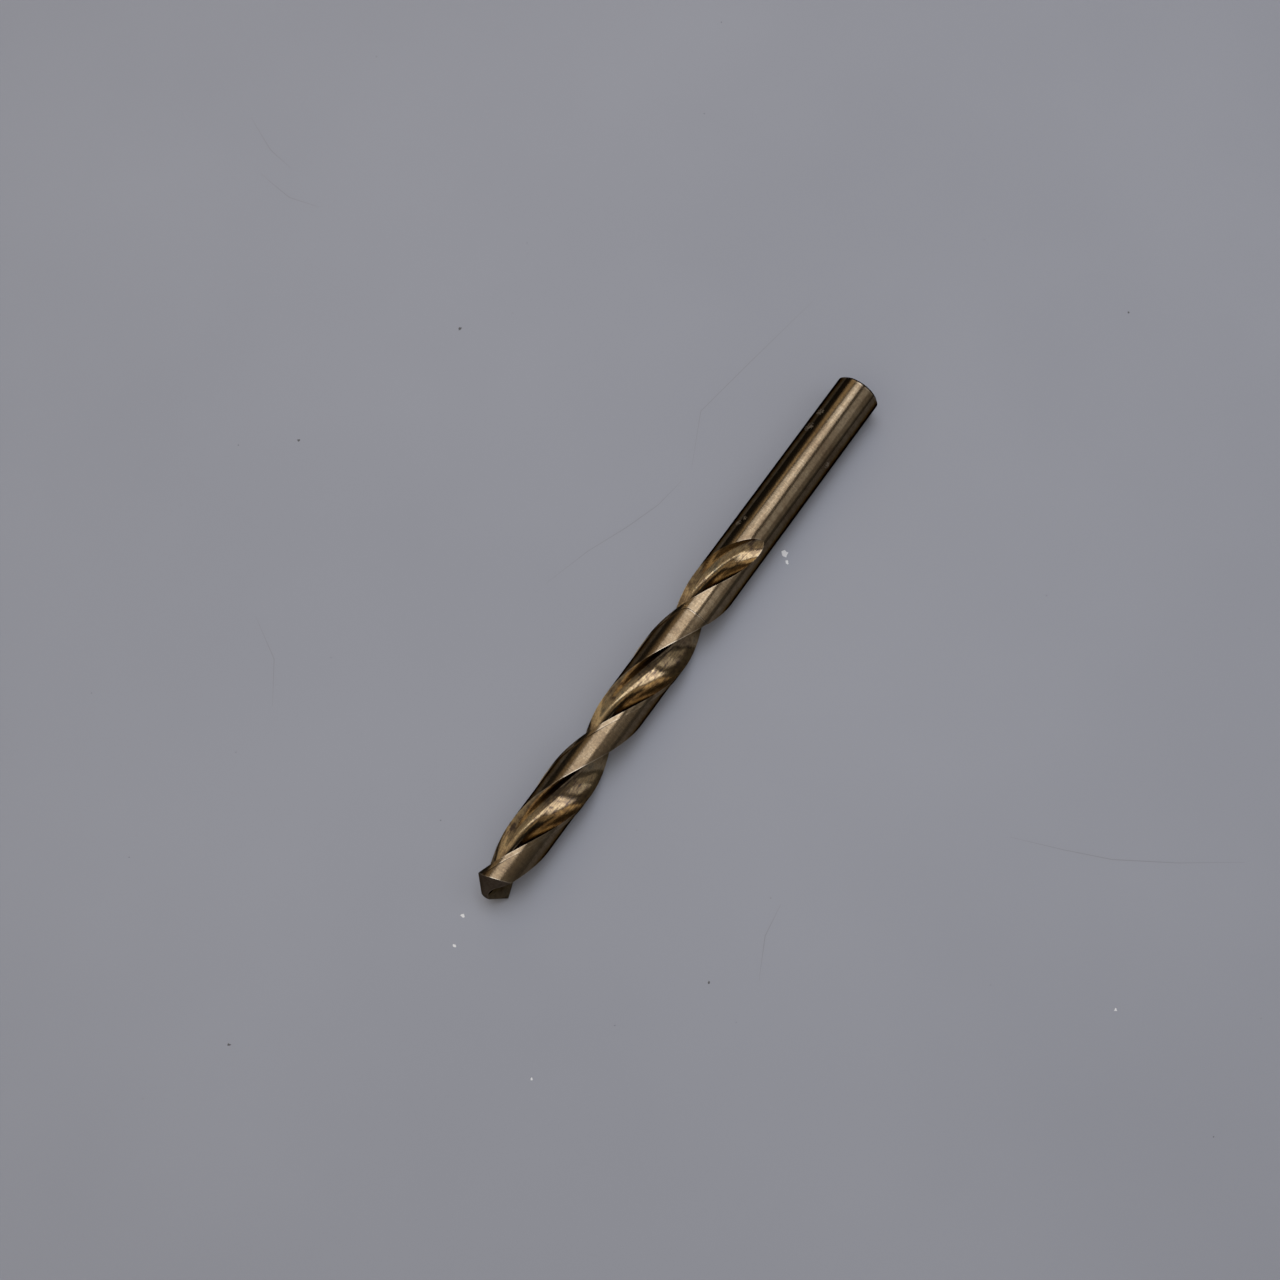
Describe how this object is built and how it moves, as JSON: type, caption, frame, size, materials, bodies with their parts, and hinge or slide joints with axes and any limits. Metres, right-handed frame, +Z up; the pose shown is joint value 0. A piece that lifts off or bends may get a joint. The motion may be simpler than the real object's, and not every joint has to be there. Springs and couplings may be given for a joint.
{
  "type": "twist drill bit",
  "caption": "Jobber-length twist drill with two helical flutes, a ground conical point, narrow margins and a plain cylindrical shank.",
  "frame": {"origin": "on the surface the drill lies on, below the middle of its length", "axes": "+X along the drill's axis from the point to the shank, +Z up from the surface it lies on"},
  "size_m": [0.133, 0.01, 0.01],
  "materials": {
    "drill_steel": "ground high-speed cobalt steel, tempered to a thin straw-bronze oxide"
  },
  "bodies": {
    "root": {"twist_drill": "drill_steel"}
  },
  "joints": []
}
